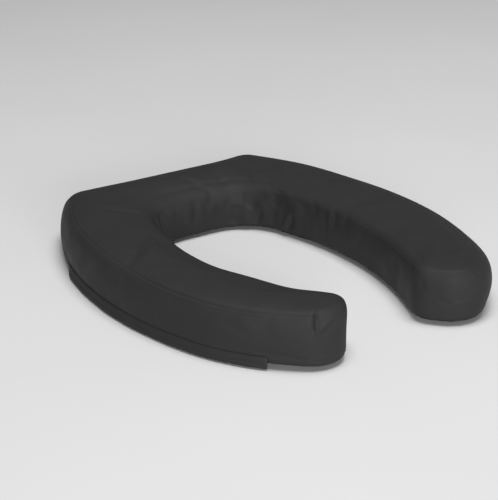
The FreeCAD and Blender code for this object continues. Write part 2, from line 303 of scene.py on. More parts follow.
def section_rows(k):
    """Distances up section k of the cover's rows, the same number for every section."""
    low_arc = BOTTOM_R[k] * math.pi / 2
    full = low_arc + HEIGHT - EDGE_DROP[k] - BOTTOM_R[k] - TOP_R[k] + TOP_R[k] * math.pi / 2
    zip_seam = low_arc + BOTTOM_SEAM_Z - UNDER_Z - BOTTOM_R[k]
    low_seam = LOW_SEAM_UP + HIGH_SEAM[k] * (zip_seam - LOW_SEAM_UP)
    seam = full - DROP[k]
    middle = max(low_seam + ROW_GAP, low_arc + ARC_GAP)
    rows = [0, low_seam / 3, low_seam * 2 / 3]
    rows += [low_seam - SEAM_HALF, low_seam, low_seam + SEAM_HALF, middle]
    start, end = middle, seam - TOPSTITCH - TOPSTITCH_WIDTH
    rows += [start + (end - start) * j / WALL_ROWS for j in range(1, WALL_ROWS + 1)]
    rows += [seam - TOPSTITCH, seam - TOPSTITCH + TOPSTITCH_WIDTH]
    rows += [seam - SEAM_HALF, seam, seam + SEAM_HALF]
    rows += [seam + SEAM_HALF + (full - seam - SEAM_HALF) * j / TOP_ROWS
             for j in range(1, TOP_ROWS + 1)]
    return rows, low_seam, seam


def patch(row_values):
    """A horseshoe face filled from its closed rim: a grid of (stations, across, values)."""
    stations = 2 * HALF
    grid = np.zeros((stations + 1, ACROSS + 1, row_values.shape[1]))
    outer = np.array([row_values[patch_index(i, 0)] for i in range(stations + 1)])
    inner = np.array([row_values[patch_index(i, ACROSS)] for i in range(stations + 1)])
    first = np.array([row_values[patch_index(0, j)] for j in range(ACROSS + 1)])
    last = np.array([row_values[patch_index(stations, j)] for j in range(ACROSS + 1)])
    for i in range(stations + 1):
        a = i / stations
        for j in range(ACROSS + 1):
            b = j / ACROSS
            # The arms bend, so the ends only act near the tips.
            grid[i, j] = (
                (1 - b) * outer[i] + b * inner[i]
                + (1 - a) ** END_REACH * (first[j] - (1 - b) * first[0] - b * first[-1])
                + a ** END_REACH * (last[j] - (1 - b) * last[0] - b * last[-1]))
    for _ in range(PATCH_SMOOTHING):
        before_after = grid[:-2, 1:-1] + grid[2:, 1:-1]
        grid[1:-1, 1:-1] = (before_after + grid[1:-1, :-2] + grid[1:-1, 2:]) / 4
    return grid


def crown(grid):
    """The top's swell between its edges, up to the full height in the middle of an arm."""
    stations = grid.shape[0] - 1
    for i in range(stations + 1):
        from_tip = min(1, min(i, stations - i) / CROWN_END)
        fade = math.sin(from_tip * math.pi / 2) ** CROWN_POWER
        for j in range(ACROSS + 1):
            swell = math.sin(math.pi * j / ACROSS) ** CROWN_POWER * fade
            grid[i, j, 2] += (TOP_Z - grid[i, j, 2]) * swell
    return grid


def patch_index(i, j):
    """Loop index of a patch's vertex at a station and a place across, or None off its rim."""
    if j == 0:
        return (LOOP - HALF + i) % LOOP
    if j == ACROSS:
        return 3 * HALF + ACROSS - i
    if i == 0:
        return LOOP - HALF - j
    if i == 2 * HALF:
        return HALF + j
    return None


def cover_cage():
    """Vertices, faces, face labels and vertex features of the cover before the simulation."""
    rows = [section_rows(k) for k in range(LOOP)]
    verts, features = [], []
    for r in range(LAST_ROW + 1):
        for k in range(LOOP):
            ups, low_seam, seam = rows[k]
            inset, z = section(k, ups[r])
            x, y = POINTS[k] - NORMALS[k] * inset
            verts.append((x + SHIFT_X, y, z))
            features.append((RUNS[k], INWARD[k], ups[r] - seam, ups[r] - low_seam))
    verts, features = np.array(verts), np.array(features)
    faces, labels = [], []
    for r in range(LAST_ROW):
        for k in range(LOOP):
            n = (k + 1) % LOOP
            faces.append((r * LOOP + k, (r + 1) * LOOP + k, (r + 1) * LOOP + n, r * LOOP + n))
            labels.append(wall_label(r, k))
    for at_top in (True, False):
        row = LAST_ROW if at_top else 0
        rim = slice(row * LOOP, (row + 1) * LOOP)
        values = np.hstack([verts[rim], features[rim]])
        grid = crown(patch(values)) if at_top else patch(values)
        base = len(verts)
        index = np.zeros(grid.shape[:2], int)
        new = []
        for i in range(grid.shape[0]):
            for j in range(grid.shape[1]):
                on_rim = patch_index(i, j)
                if on_rim is None:
                    index[i, j] = base + len(new)
                    new.append(grid[i, j])
                else:
                    index[i, j] = row * LOOP + on_rim
        new = np.array(new)
        new[:, 5:7] += IN_TOP if at_top else IN_BOTTOM
        verts = np.vstack([verts, new[:, :3]])
        features = np.vstack([features, new[:, 3:]])
        for i in range(grid.shape[0] - 1):
            for j in range(grid.shape[1] - 1):
                quad = (index[i, j], index[i + 1, j], index[i + 1, j + 1], index[i, j + 1])
                faces.append(quad if at_top else quad[::-1])
                labels.append("top" if at_top else "bottom")
    return verts, faces, labels, features


def wall_label(row, k):
    """The panel that a cell of the wall belongs to."""
    if row >= TOP_SEAM_ROW:
        return "top"
    if row < LOW_SEAM_ROW:
        return "bottom"
    middle_right = HALF + ACROSS // 2
    middle_left = LOOP - HALF - ACROSS // 2
    return "inner" if middle_right <= k < middle_left else "outer"


# ---- meshes

LABELS = ("top", "outer", "inner", "bottom")
FEATURES = ("run", "inward", "from_top", "from_low")


def linked(name, data):
    """A new object in the scene, for a mesh, a lamp or a camera."""
    obj = bpy.data.objects.new(name, data)
    bpy.context.scene.collection.objects.link(obj)
    return obj


def mesh_object(name, verts, faces):
    """A smooth-shaded object from vertices in millimetres."""
    mesh = bpy.data.meshes.new(name)
    places = [tuple(map(float, v)) for v in np.asarray(verts) * MM]
    mesh.from_pydata(places, [], [tuple(map(int, f)) for f in faces])
    mesh.validate()
    obj = linked(name, mesh)
    mesh.polygons.foreach_set("use_smooth", [True] * len(mesh.polygons))
    return obj


def grid_faces(columns, rows):
    """Quads between the vertices of a grid, listed column by column."""
    width = rows + 1
    corners = [i * width + j for i in range(columns) for j in range(rows)]
    return [(a, a + 1, a + width + 1, a + width) for a in corners]


def loft_faces(rings, count, base=0):
    """Faces of a closed bar: quads between its rings of vertices, and a cap at each end."""
    faces = []
    for ring in range(rings - 1):
        for k in range(count):
            a = base + ring * count + k
            b = base + ring * count + (k + 1) % count
            faces.append((a, b, b + count, a + count))
    last = base + (rings - 1) * count
    faces.append(tuple(base + k for k in range(count))[::-1])
    faces.append(tuple(last + k for k in range(count)))
    return faces


def from_work(name, work):
    """An object from a bmesh, with one material index."""
    mesh = bpy.data.meshes.new(name)
    work.to_mesh(mesh)
    work.free()
    mesh.polygons.foreach_set("material_index", [0] * len(mesh.polygons))
    return linked(name, mesh)


def dressed(obj, material, nodes):
    """Gives a piece its material and lets it ride on the cushion in place of CAD nodes."""
    obj.data.materials.clear()
    obj.data.materials.append(MATERIALS[material])
    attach(obj, "cushion")
    if nodes:
        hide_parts(*nodes)
    return obj


def outward(obj):
    """Face normals turned to point out."""
    work = bmesh.new()
    work.from_mesh(obj.data)
    bmesh.ops.recalc_face_normals(work, faces=work.faces)
    work.to_mesh(obj.data)
    work.free()


def applied(obj):
    """The object's modifiers applied to its mesh."""
    graph = bpy.context.evaluated_depsgraph_get()
    mesh = bpy.data.meshes.new_from_object(obj.evaluated_get(graph))
    obj.modifiers.clear()
    obj.data = mesh
    return obj


def vectors(items, name):
    """A property of three numbers, in one row for each item."""
    values = np.zeros(len(items) * 3)
    items.foreach_get(name, values)
    return values.reshape(-1, 3)


def coords(obj):
    """Vertex positions in metres."""
    return vectors(obj.data.vertices, "co")


def set_coords(obj, values):
    """Moves the vertices, to positions in metres."""
    obj.data.vertices.foreach_set("co", np.asarray(values, float).ravel())
    obj.data.update()


# ---- cloth

CLOTH_FRAMES = 16
CLOTH_CAP = 1.8              # the furthest a vertex may move
PIN_REACH = 3.0              # the cloth is held at its seams, over about this distance
PIN_LEAST = 0.02
CLOTH_SETTINGS = {
    "quality": 6,
    "mass": 0.4,
    "tension_stiffness": 25,
    "compression_stiffness": 12,
    "shear_stiffness": 12,
    "bending_stiffness": 14,
    "use_pressure": True,
    "uniform_pressure_force": 3.0,
    "vertex_group_mass": "pins",
    "shrink_min": -0.002,
}


def softened(obj, features):
    """A short pressure simulation: the cover's panels swell between their seams."""
    start = coords(obj)
    pins = obj.vertex_groups.new(name="pins")
    seam = np.minimum(np.abs(features[:, 2]), np.abs(features[:, 3]))
    under = features[:, 3] < 0
    hold = np.where(under, 1.0, np.exp(-(seam / PIN_REACH) ** 2))
    for k, weight in enumerate(hold):
        if weight > PIN_LEAST:
            pins.add([k], float(min(1.0, weight)), "REPLACE")
    cloth = obj.modifiers.new("cloth", "CLOTH")
    for name, value in CLOTH_SETTINGS.items():
        setattr(cloth.settings, name, value)
    cloth.settings.effector_weights.gravity = 0
    cloth.collision_settings.use_collision = False
    scene = bpy.context.scene
    scene.frame_start, scene.frame_end = 1, CLOTH_FRAMES
    cloth.point_cache.frame_start, cloth.point_cache.frame_end = 1, CLOTH_FRAMES
    for number in range(1, CLOTH_FRAMES + 1):
        scene.frame_set(number)
    applied(obj)
    scene.frame_set(1)
    move = coords(obj) - start
    far = np.linalg.norm(move, axis=1)[:, None]
    cap = CLOTH_CAP * MM
    move *= np.tanh(far / cap) * cap / np.maximum(far, 1e-9)
    set_coords(obj, start + move)


# ---- creases

LATTICE_VALUES = 4096
LATTICE_HASH = (73856093, 19349663, 83492791)


def lattice_noise(points, scale, seed):
    """Smooth noise from -1 to 1 at each point, with features of about the given size."""
    rng = np.random.default_rng(seed)
    table = rng.uniform(-1, 1, LATTICE_VALUES)
    scaled = points / scale
    cell = np.floor(scaled).astype(int)
    frac = scaled - cell
    frac = frac * frac * (3 - 2 * frac)
    total = np.zeros(len(points))
    for corner in range(8):
        offset = np.array([corner & 1, corner >> 1 & 1, corner >> 2 & 1])
        at = cell + offset
        mixed_up = at * LATTICE_HASH
        key = (mixed_up[:, 0] ^ mixed_up[:, 1] ^ mixed_up[:, 2]) & (LATTICE_VALUES - 1)
        weight = np.prod(np.where(offset, frac, 1 - frac), axis=1)
        total += weight * table[key]
    return total


# Creases across the top, in plan: start, end, half width and depth.
TOP_CREASES = (
    ((72, 176), (58, 108), 4.5, 1.2),
    ((96, 168), (88, 96), 5.5, 1),
    ((38, 170), (34, 120), 5.0, 0.75),
    ((-4, 165), (12, 124), 5.0, 0.75),
    ((-112, 47), (-170, -24), 7.0, 1.4),
    ((-76, 96), (-114, 122), 6.0, 0.9),
    ((-112, 25), (-126, -40), 5.0, 0.6),
    ((80, -190), (92, -203), 2.6, 0.6),
)
# Folds of the outer walls: side (-1 is left), run and height of the middle, half its extent
# along and up, half width, and depth (a ridge where it is negative).
WALL_FOLDS = (
    (-1, 560.5, 46, (0.3, 12), 1.3, 1.2),
    (-1, 563.4, 44, (0.3, 13), 1.5, -1.2),
    (-1, 573.0, 43, (10, 7), 1.9, -1),
    (-1, 575.5, 39, (10, 7), 2.4, 0.91),
    (-1, 492.0, 35, (16, -6), 4.0, 0.65),
    (-1, 503.0, 39, (9, -5), 4.0, -0.52),
    (-1, 521.0, 42, (1, 10), 3.5, 0.39),
    (-1, 530.0, 15, (27, -3.5), 2.2, 0.78),
    (-1, 345.0, 42, (2.5, 9), 2.4, 0.28),
    (-1, 349.0, 42, (0.5, 8), 2.4, -0.3),
    (-1, 354.0, 43, (2, 9), 2.6, 0.34),
    (-1, 364.0, 44, (2, 7), 2.4, 0.28),
    (1, 584.0, 27.5, (-14, 2.5), 1.7, 0.65),
    (1, 588.0, 24.0, (-13, 2.0), 2.0, -0.45),
    (1, 606.0, 25.0, (8, 2.8), 2.0, 0.78),
    (1, 588.0, 32.0, (-15, 2.5), 1.8, 0.39),
    (1, 577.0, 37.0, (-9, 1.0), 2.0, 0.45),
    (1, 627.0, 38.0, (1, 7), 3.0, 0.65),
    (1, 568.0, 46.0, (2, 7), 2.5, 0.78),
)
# Folds of the opening's wall: signed run from the rear's middle and the same sizes.
OPENING_FOLDS = (
    (-60, 28, (-2, 17), 4.4, -1.1),
    (-52, 26, (2, 17), 4.4, 1.5),
    (-36, 24, (-3, 17), 7.5, -0.81),
    (-20, 27, (3, 14), 8.8, -0.94),
    (-6, 28, (2, 16), 4.4, 1.2),
    (15, 40, (4, 10), 4.4, 1.4),
    (27, 34, (5, 10), 7.5, -0.94),
    (40, 18, (4, 12), 5.6, 1.9),
    (54, 17, (4, 12), 5.0, -1.6),
    (47, 33, (1, 12), 3.8, 0.68),
    (66, 17, (4, 13), 3.5, 1.9),
    (72, 32, (8, 14), 5.0, -1.6),
    (88, 39, (6, 11), 8.8, 1.4),
    (100, 16, (6, 12), 4.0, -1.6),
    (106, 17, (6, 13), 3.2, 1.9),
    (114, 31, (5, 12), 5.6, -1.2),
    (135, 37, (9, 11), 8.1, 1.2),
    (149, 24, (4, 17), 5.0, -0.68),
    (163, 30, (1, 20), 3.2, -1.1),
    (171, 36, (1, 13), 4.8, 1.2),
    (188, 40, (3, 10), 3.8, 0.94),
    (200, 30, (2, 17), 5.6, -0.54),
    (217, 34, (3, 14), 4.4, 0.54),
)
# Depths of the top seam's groove: everywhere, and what the left wall and the front left add.
TOP_GROOVE = (0.18, 0.3, 0.25)
ROW_GROOVE = 0.45            # the topstitched row below it at the front left
LIP = (0.1, 0.25)            # the swelling between the two, and what the front left adds
LIP_ENDS = ((-TOPSTITCH - 1, -TOPSTITCH + 0.8), (-1.2, -0.2))    # measured from the top seam
LOW_GROOVE = 0.4             # the bottom seam's groove
FLAP_EASE = 0.28             # how much shallower it is above the flap
GROOVE_HALF = 0.8            # a groove, from its middle
FRONT_RUNS = (360, 410, 505, 530)        # where the front left starts and ends
UNEVENNESS = ((0.2, 42.0), (0.07, 14.0))     # of foam under cloth: depth and size
CREASE_BOW = 0.05            # how far a crease bends sideways, by its length
CREASE_ENDS = ((-0.15, 0.3), (0.6, 1.15))    # where it fades in and out, by its length
CREASE_RIDGE = (0.5, 1.8)    # the swelling beside it, by its depth and half width
FOLD_REACH_IN = 16.0         # a fold only shapes the wall that it is on
FOLD_ENDS = (0.45, 1.0)      # where it fades out, by half its extent


def top_creases(plan):
    """How far the top is moved up along its creases, down where negative."""
    total = np.zeros(len(plan))
    for start, end, width, depth in TOP_CREASES:
        start, end = np.array(start, float), np.array(end, float)
        length = np.linalg.norm(end - start)
        way = (end - start) / length
        side = np.array([-way[1], way[0]])
        along = (plan - start) @ way / length
        off = (plan - start) @ side
        off -= CREASE_BOW * length * np.sin(np.clip(along, 0, 1) * math.pi)
        height, away = CREASE_RIDGE
        ridge = height * np.exp(-((off - away * width) / width) ** 2)
        valley = np.exp(-(off / width) ** 2) - ridge
        total -= depth * between(along, *CREASE_ENDS) * valley
    return total


def folded(plan, z, side, run, height, extent, width, depth):
    """How far out a fold moves the wall that it is on, at each vertex."""
    point, normal = outline_at(run)
    flip = np.array([side, 1.0])
    reach = plan - point * flip
    along = reach @ (np.array([normal[1], -normal[0]]) * flip)
    close = np.abs(reach @ (normal * flip)) < FOLD_REACH_IN
    up = z - height
    length = math.hypot(*extent)
    share = (along * extent[0] + up * extent[1]) / length ** 2
    off = (up * extent[0] - along * extent[1]) / length
    strength = close * (1 - smooth(*FOLD_ENDS, np.abs(share)))
    return -depth * strength * np.exp(-(off / width) ** 2)


def wall_folds(plan, z):
    """The folds of the outer walls and of the opening's wall together."""
    total = np.zeros(len(plan))
    for side, run, height, extent, width, depth in WALL_FOLDS:
        total += folded(plan, z, side, run, height, extent, width, depth)
    for run, height, extent, width, depth in OPENING_FOLDS:
        # The outline is walked the other way along the opening's wall.
        side = 1 if run >= 0 else -1
        turned = (-extent[0] * side, extent[1])
        total += folded(plan, z, side, HALF_RUN - abs(run), height, turned, width, depth)
    return total


# Two waves of puckers round the back of the opening: pitch, slant, phase and depth.
WIDE_PUCKERS = (21.0, 0.35, 0.0, 0.25)
NARROW_PUCKERS = (13.0, -0.15, 1.3, 0.15)
PUCKER_MIDDLE_Z = 25
PUCKERS_UP = ((0.0, 0.2), (0.6, 0.85))       # where they start and end, by the cover's height
PUCKERS_ALONG = ((-95, -40), (110, 220))     # and along the opening's wall
PUCKER_WARP = ((6, 31.0, 0.7), (4, 12.0, 0.0))       # their sway: size, run and phase


def puckers(run, z, pitch, slant, phase, depth):
    """One slanting wave of cloth along a run."""
    along = run + slant * (z - PUCKER_MIDDLE_Z)
    return depth * np.sin(2 * math.pi * along / pitch + phase)


def gathers(run, z):
    """Small even puckers of the loose cloth round the back of the opening."""
    height = np.clip((z - UNDER_Z) / HEIGHT, 0, 1)
    warp = sum(size * np.sin(run / wave + phase) for size, wave, phase in PUCKER_WARP)
    waves = puckers(run + warp, z, *WIDE_PUCKERS) + puckers(run, z, *NARROW_PUCKERS)
    return between(height, *PUCKERS_UP) * between(run, *PUCKERS_ALONG) * waves


def seam_push(top, low, outer, run):
    """How far out the cloth is moved by the top seam, its topstitched row and the bottom seam."""
    sewn = outer * (run < 0)
    at_flap = outer * smooth(FLAP_RUNS[0] - 4, FLAP_RUNS[0] + 10, -run)
    starting, started, ending, ended = FRONT_RUNS
    front_left = outer * smooth(starting, started, -run) * (1 - smooth(ending, ended, -run))
    everywhere, on_left, at_front = TOP_GROOVE
    depth = everywhere + on_left * sewn + at_front * front_left
    push = -depth * np.exp(-(top / GROOVE_HALF) ** 2)
    push -= ROW_GROOVE * front_left * np.exp(-((top + TOPSTITCH) / SEAM_HALF) ** 2)
    push += (LIP[0] + LIP[1] * front_left) * between(top, *LIP_ENDS)
    push -= (LOW_GROOVE - FLAP_EASE * at_flap) * np.exp(-(low / GROOVE_HALF) ** 2)
    return push


# Where shapes start or end: by the share across an arm, then by the normal's upward part.
OPENING_WALL_START = (0.8, 1.0)
OUTER_WALL_END = (0.0, 0.2)
GATHERS_END = (0.45, 0.8)
FOLDS_END = (0.8, 0.97)
CREASES_START = (0.8, 0.98)
SEAM_CLEAR = 4.0             # the unevenness is slight this close to a seam


def shaped(obj):
    """Seams pressed in, gathers, creases and the unevenness of foam under cloth."""
    co = coords(obj) / MM
    normals = vectors(obj.data.vertex_normals, "vector")
    feature = {name: np.zeros(len(co)) for name in FEATURES}
    for name, values in feature.items():
        obj.data.attributes[name].data.foreach_get("value", values)
    run, top, low = feature["run"], feature["from_top"], feature["from_low"]
    inner = smooth(*OPENING_WALL_START, feature["inward"])
    outer = 1 - smooth(*OUTER_WALL_END, feature["inward"])
    upward = normals[:, 2]
    wall = 1 - smooth(*GATHERS_END, np.abs(upward))
    free = 1 - np.exp(-(np.minimum(np.abs(top), np.abs(low)) / SEAM_CLEAR) ** 2)
    above = (low > 0).astype(float)
    plan = co[:, :2] - np.array([SHIFT_X, 0])
    push = seam_push(top, low, outer, run)
    push += inner * wall * gathers(run, co[:, 2])
    push += smooth(*CREASES_START, upward) * top_creases(plan)
    push += (1 - smooth(*FOLDS_END, np.abs(upward))) * wall_folds(plan, co[:, 2])
    for k, (depth, size) in enumerate(UNEVENNESS):
        push += above * free * depth * lattice_noise(co, size, SEED + k)
    set_coords(obj, (co + normals * push[:, None]) * MM)


# ---- nodes for materials

def new_material(name, roughness=0.5, metallic=0.0):
    """A material with its node tree and its shader."""
    material = bpy.data.materials.new(name)
    material.use_nodes = True
    tree = material.node_tree
    shader = tree.nodes["Principled BSDF"]
    shader.inputs["Roughness"].default_value = roughness
    shader.inputs["Metallic"].default_value = metallic
    return material, tree, shader


def node(tree, kind, **settings):
    """A new node, its inputs and properties set by name."""
    made = tree.nodes.new(kind)
    for name, value in settings.items():
        if name in made.inputs:
            made.inputs[name].default_value = value
        else:
            setattr(made, name, value)
    return made


def link(tree, source, target):
    """Joins an output to an input."""
    tree.links.new(source, target)


def object_coords(tree, turn=(0, 0, 0)):
    """The surface's own coordinates in metres, turned."""
    place = node(tree, "ShaderNodeTexCoord")
    mapping = node(tree, "ShaderNodeMapping", Rotation=turn)
    link(tree, place.outputs["Object"], mapping.inputs["Vector"])
    return mapping.outputs["Vector"]


def textured(tree, vector, kind, output, **settings):
    """The output of a texture node that reads the vector."""
    made = node(tree, kind, **settings)
    link(tree, vector, made.inputs["Vector"])
    return made.outputs[output]


def noise(tree, vector, scale, detail=3.0):
    """Clouds, the larger the scale the finer."""
    return textured(tree, vector, "ShaderNodeTexNoise", "Fac", Scale=scale, Detail=detail, Roughness=0.5)


def cell_noise(tree, vector, scale):
    """Cells, 0 in their middles."""
    return textured(tree, vector, "ShaderNodeTexVoronoi", "Distance", Scale=scale)


def wave_bands(tree, vector, **settings):
    """Bands that rise and fall."""
    return textured(tree, vector, "ShaderNodeTexWave", "Fac", **settings)


def coloured(tree, shader, value, low, high):
    """The shader's colour, from one (place, colour) stop of a value to another."""
    made = node(tree, "ShaderNodeValToRGB")
    for element, (place, colour) in zip(made.color_ramp.elements, (low, high)):
        element.position = place
        element.color = (*colour, 1)
    link(tree, value, made.inputs["Fac"])
    link(tree, made.outputs["Color"], shader.inputs["Base Color"])


def bumps(tree, shader, layers):
    """Height layers of (socket, strength, distance in metres), chained into the normal."""
    previous = None
    for height, strength, distance in layers:
        made = node(tree, "ShaderNodeBump", Strength=strength, Distance=distance)
        link(tree, height, made.inputs["Height"])
        if previous is not None:
            link(tree, previous, made.inputs["Normal"])
        previous = made.outputs["Normal"]
    link(tree, previous, shader.inputs["Normal"])


def uneven(tree, shader, value, low, high):
    """The shader's roughness, from low to high over the usual range of a noise."""
    made = node(tree, "ShaderNodeMapRange")
    for name, number in (("From Min", 0.3), ("From Max", 0.7), ("To Min", low), ("To Max", high)):
        made.inputs[name].default_value = number
    link(tree, value, made.inputs["Value"])
    link(tree, made.outputs["Result"], shader.inputs["Roughness"])


def grey(level):
    """A neutral colour."""
    return (level,) * 3


# ---- materials

FABRIC_DARK = (0.0275, 0.0278, 0.0275)
FABRIC_LIGHT = (0.0325, 0.0328, 0.0325)
FINE_SHARE = 0.35            # of the fabric's tone, from the fine noise


def coated_fabric():
    """Polyurethane-coated stretch cloth: a fine pebbled grain over a faint weave."""
    material, tree, shader = new_material("coated_fabric")
    place = object_coords(tree)
    cloudy = noise(tree, place, 34.0, 4.0)
    tone = node(tree, "ShaderNodeMix", data_type="FLOAT")
    tone.inputs["Factor"].default_value = FINE_SHARE
    link(tree, cloudy, tone.inputs[2])
    link(tree, noise(tree, place, 900.0, 2.0), tone.inputs[3])
    coloured(tree, shader, tone.outputs[0], (0.3, FABRIC_DARK), (0.7, FABRIC_LIGHT))
    uneven(tree, shader, noise(tree, place, 60.0, 5.0), 0.54, 0.66)
    shader.inputs["Specular IOR Level"].default_value = 0.12
    bumps(tree, shader, (
        (cloudy, 0.1, 0.0012),
        (noise(tree, place, 260.0, 3.0), 0.2, 0.0003),
        (cell_noise(tree, place, 1500.0), 0.35, 0.00012),
    ))
    return material


def thread():
    """Twisted polyester."""
    material, tree, shader = new_material("sewing_thread", 0.6)
    place = object_coords(tree, turn=(0.4, 0.6, 0.3))
    twist = wave_bands(tree, place, Scale=900.0, Distortion=1.5)
    coloured(tree, shader, twist, (0.2, grey(0.014)), (0.8, grey(0.032)))
    bumps(tree, shader, ((twist, 0.4, 0.0001),))
    shader.inputs["Specular IOR Level"].default_value = 0.25
    return material


def foam(name, pale, dark, scale):
    """Open cells, with painted shade in their hollows."""
    material, tree, shader = new_material(name, 0.9)
    place = object_coords(tree)
    hollow = cell_noise(tree, place, scale)
    # painted shade: the cells' middles, where the bump is lowest, are coloured darker
    coloured(tree, shader, hollow, (0.1, dark), (0.6, pale))
    bumps(tree, shader, ((hollow, 0.5, 0.0004), (noise(tree, place, 400.0), 0.3, 0.0003)))
    return material


def woven(name, light, pitch, turn):
    """Tape or webbing: ribs across, crossed by fine weft, with the pitch in metres."""
    material, tree, shader = new_material(name)
    place = object_coords(tree, turn=(0, 0, turn))
    ribs = wave_bands(tree, place, Scale=1 / pitch / 3.1, Distortion=0.4, wave_type="BANDS")
    weft = wave_bands(tree, place, Scale=1 / pitch / 2.0, Distortion=0.3, bands_direction="Y")
    product = node(tree, "ShaderNodeMath", operation="MULTIPLY")
    link(tree, ribs, product.inputs[0])
    link(tree, weft, product.inputs[1])
    coloured(tree, shader, product.outputs[0], (0.0, grey(0.012)), (0.7, light))
    uneven(tree, shader, noise(tree, place, 300.0), 0.64, 0.78)
    bumps(tree, shader, ((ribs, 0.5, 0.0002), (weft, 0.4, 0.00015)))
    return material


def pile(name, dark, light, scale, depth):
    """Hook or loop faces of a touch fastener."""
    material, tree, shader = new_material(name, 0.85)
    place = object_coords(tree)
    tufts = cell_noise(tree, place, scale)
    coloured(tree, shader, tufts, (0.1, light), (0.7, dark))
    bumps(tree, shader, ((tufts, 0.8, depth), (noise(tree, place, 1500.0), 0.5, depth / 2)))
    shader.inputs["Sheen Weight"].default_value = 0.3
    return material


def enamelled_metal():
    """Black enamel, worn to the zinc in places."""
    material, tree, shader = new_material("zip_enamel", metallic=0.85)
    place = object_coords(tree)
    worn = noise(tree, place, 420.0, 4.0)
    coloured(tree, shader, worn, (0.45, grey(0.035)), (0.8, (0.16, 0.155, 0.15)))
    uneven(tree, shader, noise(tree, place, 900.0), 0.26, 0.42)
    bumps(tree, shader, ((noise(tree, place, 1400.0), 0.1, 0.0001),))
    shader.inputs["Coat Weight"].default_value = 0.3
    return material


def nylon_coil():
    """Moulded nylon, a little cloudy."""
    material, tree, shader = new_material("zip_nylon")
    place = object_coords(tree)
    coloured(tree, shader, noise(tree, place, 700.0), (0.3, grey(0.02)), (0.8, grey(0.045)))
    uneven(tree, shader, noise(tree, place, 500.0), 0.3, 0.48)
    bumps(tree, shader, ((noise(tree, place, 2500.0), 0.15, 0.00005),))
    return material


def pale_floor():
    """Matt paint."""
    material, tree, shader = new_material("floor_paint", 0.6)
    place = object_coords(tree)
    coloured(tree, shader, noise(tree, place, 3.0), (0.2, grey(0.73)), (0.8, grey(0.76)))
    return material


MATERIALS = {
    "fabric": coated_fabric(),
    "thread": thread(),
    "foam_firm": foam("firm_foam", (0.55, 0.55, 0.52), (0.3, 0.3, 0.29), 600.0),
    "foam_soft": foam("soft_foam", (0.75, 0.70, 0.52), (0.5, 0.45, 0.3), 500.0),
    "tape": woven("zip_tape_twill", grey(0.04), 0.0007, 0.6),
    "coil": nylon_coil(),
    "metal": enamelled_metal(),
    "elastic": woven("elastic_webbing", grey(0.045), 0.0011, 0.0),
    "hook": pile("hook_face", grey(0.01), grey(0.05), 900.0, 0.0006),
    "loop": pile("loop_face", grey(0.014), grey(0.06), 1600.0, 0.0004),
}
# The looks of the CAD nodes that stay, by the start of their names.
CAD_LOOKS = {
    "zip_tape": "tape",
    "zip_stop": "metal",
    "zip_slider": "metal",
    "zip_pull": "metal",
    "strap_hook": "hook",
    "strap_loop": "loop",
}


def dress_cad_nodes():
    """Materials for the CAD nodes that are shown as they are."""
    for name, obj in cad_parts.items():
        for start, look in CAD_LOOKS.items():
            if name.startswith(start):
                obj.data.materials.clear()
                obj.data.materials.append(MATERIALS[look])


# ---- cover pieces

SUBDIVISIONS = 2
CLOTH_THICKNESS = 0.8
SHARP_ANGLE = math.radians(50)
# Each label's piece and the CAD node that it stands for.
PANELS = {
    "top": ("cover_top", "cover_top_panel"),
    "outer": ("cover_outer", "cover_outer_band"),
    "inner": ("cover_inner", "cover_inner_band"),
    "bottom": ("cover_bottom", "cover_bottom_panel"),
}
# Each seam's piece, its CAD node and the labels that it joins.
SEAMS = (
    ("top_seam_stitches", "top_seam_stitching", (("top", "outer"), ("top", "inner"))),
    ("bottom_seam_stitches", "bottom_seam_stitching", (("bottom", "outer"), ("bottom", "inner"))),
    ("band_join_stitches", "band_join_seams", (("outer", "inner"),)),
)
SEAM_STITCH = (3.4, 2.5, 0.36)       # pitch, length and radius of a stitch
SEAM_SUNK = 0.35
WAY_REACH = 0.3              # a line's direction is measured this far to either side
STITCH_RINGS = ((-0.5, 0.35, -0.6), (-0.3, 0.9, 0.0), (0.0, 1.0, 0.25), (0.3, 0.9, 0.0), (0.5, 0.35, -0.6))
STITCH_SIDES = 6
FOAM_INSET = 3.4
FOAM_LAYERS = (("foam_firm", None, FOAM_SPLIT_Z), ("foam_soft", FOAM_SPLIT_Z, None))


def cover_body():
    """The whole cover as one finished surface, its faces labelled by panel."""
    verts, faces, labels, features = cover_cage()
    obj = mesh_object("cover_body", verts, faces)
    obj.data.polygons.foreach_set("material_index", [LABELS.index(x) for x in labels])
    outward(obj)
    for column, name in enumerate(FEATURES):
        attribute = obj.data.attributes.new(name, "FLOAT", "POINT")
        attribute.data.foreach_set("value", features[:, column].astype(np.float32))
    softened(obj, features)
    return obj


def subdivided(obj):
    """The mesh made fine enough for stitched seams and small folds."""
    modifier = obj.modifiers.new("fine", "SUBSURF")
    modifier.levels = modifier.render_levels = SUBDIVISIONS
    return applied(obj)


def thickened(obj):
    """Cloth's thickness, added inwards."""
    thick = obj.modifiers.new("cloth_thickness", "SOLIDIFY")
    thick.thickness = CLOTH_THICKNESS * MM
    thick.offset = -1
    return applied(obj)


def panel(body, label):
    """One panel cut out along its seams, with the cloth's thickness."""
    name, node_name = PANELS[label]
    work = bmesh.new()
    work.from_mesh(body.data)
    number = LABELS.index(label)
    rest = [face for face in work.faces if face.material_index != number]
    bmesh.ops.delete(work, geom=rest, context="FACES")
    obj = from_work(name, work)
    obj.data.polygons.foreach_set("use_smooth", [True] * len(obj.data.polygons))
    thickened(obj)
    obj.data.set_sharp_from_angle(angle=SHARP_ANGLE)
    dressed(obj, "fabric", [node_name])


